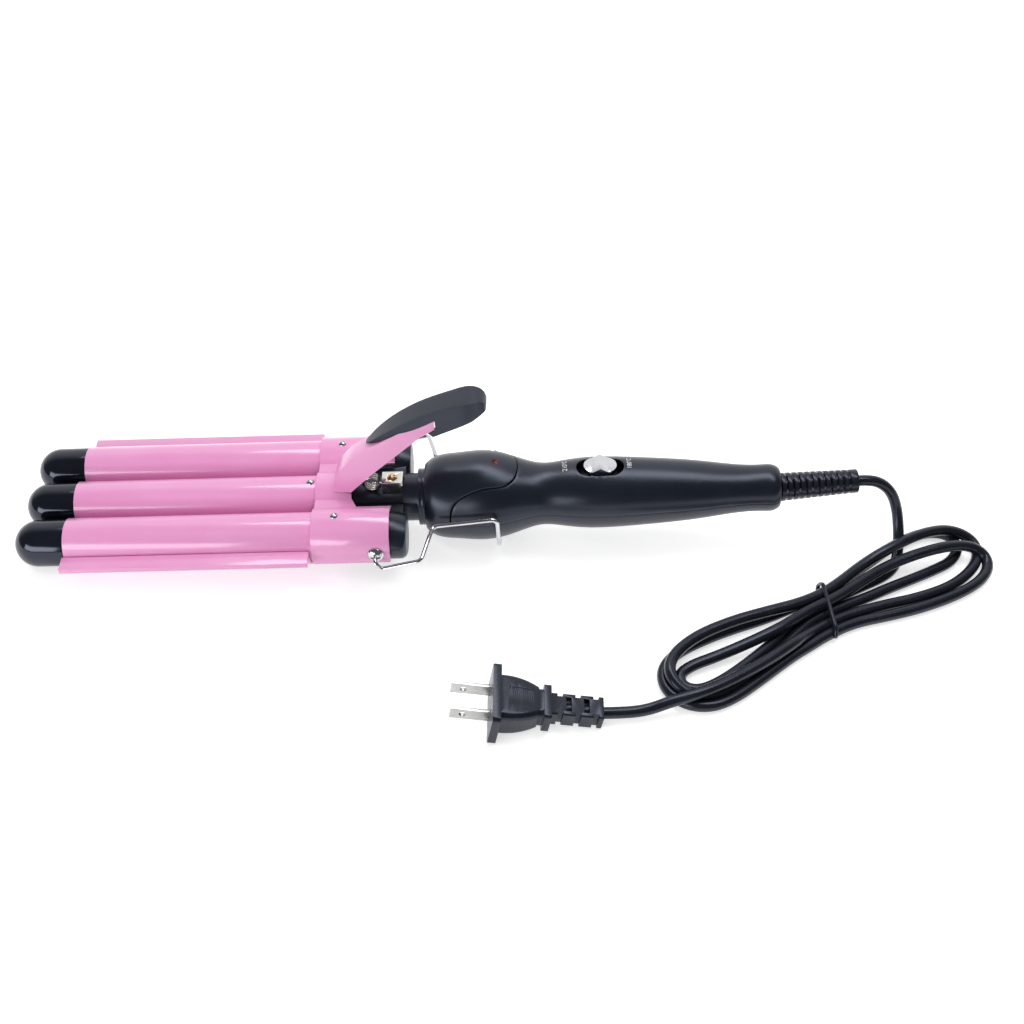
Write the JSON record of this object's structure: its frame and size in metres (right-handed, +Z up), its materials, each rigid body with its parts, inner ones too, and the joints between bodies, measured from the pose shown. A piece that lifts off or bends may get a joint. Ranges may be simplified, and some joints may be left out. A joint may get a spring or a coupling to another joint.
{
  "type": "hair waver",
  "caption": "Hand-held hair waver with parallel heated barrels that clamp over a wave plate, lever thumb rest, wire stand, slide switch, mains cord and plug.",
  "frame": {"origin": "centre of the object's own footprint on the table, without its cord, at table height", "axes": "+X from the barrel tips to the handle's end along the table, +Y across to the rear barrel, +Z up from the table"},
  "size_m": [0.4582, 0.1715, 0.0849],
  "materials": {
    "pink_enamel": "gloss metallic pink paint",
    "black_gloss": "gloss black heat resistant plastic",
    "black_satin": "satin black plastic",
    "bright_steel": "bright chrome plated wire and screws",
    "nickel_spring": "nickel plated spring steel",
    "brass_screw": "brass plated screw",
    "bare_aluminium": "bare extruded aluminium",
    "ceramic": "white ceramic heater strip",
    "circuit_green": "green circuit board",
    "switch_silver": "silver painted slide button",
    "lamp_red": "red lens",
    "cord_black": "black flexible insulation",
    "blade_nickel": "nickel plated contact blades",
    "fuse_white": "white sleeved thermal fuse"
  },
  "bodies": {
    "handle": {"middle_barrel": "pink_enamel", "middle_nose": "black_gloss", "middle_heater_shoes": "bare_aluminium", "middle_ceramic_heater": "ceramic", "middle_root_screw": "bright_steel", "wave_plate": "pink_enamel", "wave_plate_screws": "nickel_spring", "barrel_base": "black_satin", "hinge_screws": "bright_steel", "clamp_spring": "nickel_spring", "spring_clip": "nickel_spring", "spring_clip_screw": "brass_screw", "head_cover": "black_satin", "handle_top": "black_satin", "handle_bottom": "black_satin", "handle_screws": "nickel_spring", "circuit_board": "circuit_green", "thermal_fuse": "fuse_white", "switch_body": "black_satin", "switch_bezel": "black_satin", "power_lamp": "lamp_red", "heater_leads": "cord_black", "strain_relief": "cord_black", "inner_cord": "cord_black", "cord_clamp": "black_satin", "cord_clamp_screws": "nickel_spring", "cord_lead": "cord_black", "cord_hank": "cord_black", "cord_tie": "cord_black", "cord_tail": "cord_black", "plug_body": "cord_black", "plug_blades": "blade_nickel"},
    "clamp": {"clamp_bracket": "pink_enamel", "thumb_rest": "black_satin", "thumb_rest_rivet": "nickel_spring", "collar_screws": "bright_steel", "front_barrel": "pink_enamel", "front_nose": "black_gloss", "front_heater_shoes": "bare_aluminium", "front_ceramic_heater": "ceramic", "front_root_plug": "black_satin", "rear_barrel": "pink_enamel", "rear_nose": "black_gloss", "rear_heater_shoes": "bare_aluminium", "rear_ceramic_heater": "ceramic", "rear_root_plug": "black_satin"},
    "stand": {"stand_wire": "bright_steel"},
    "switch": {"switch_button": "switch_silver"}
  },
  "joints": [
    {"name": "clamp_hinge", "type": "hinge", "parent": "handle", "child": "clamp", "pos_m": [-0.02851, 0, 0.02109], "axis": [0, 1, 0], "range_deg": [0, 15], "stiffness_Nm_per_rad": 1, "springref_deg": -17.19, "deforming": ["clamp_spring"]},
    {"name": "stand_hinge", "type": "hinge", "parent": "handle", "child": "stand", "pos_m": [-0.02851, 0, 0.02109], "axis": [0, 1, 0], "range_deg": [0, 78]},
    {"name": "switch_slide", "type": "slide", "parent": "handle", "child": "switch", "axis": [0.9982, 0, 0.0592], "range_m": [-0.003, 0.003]}
  ]
}
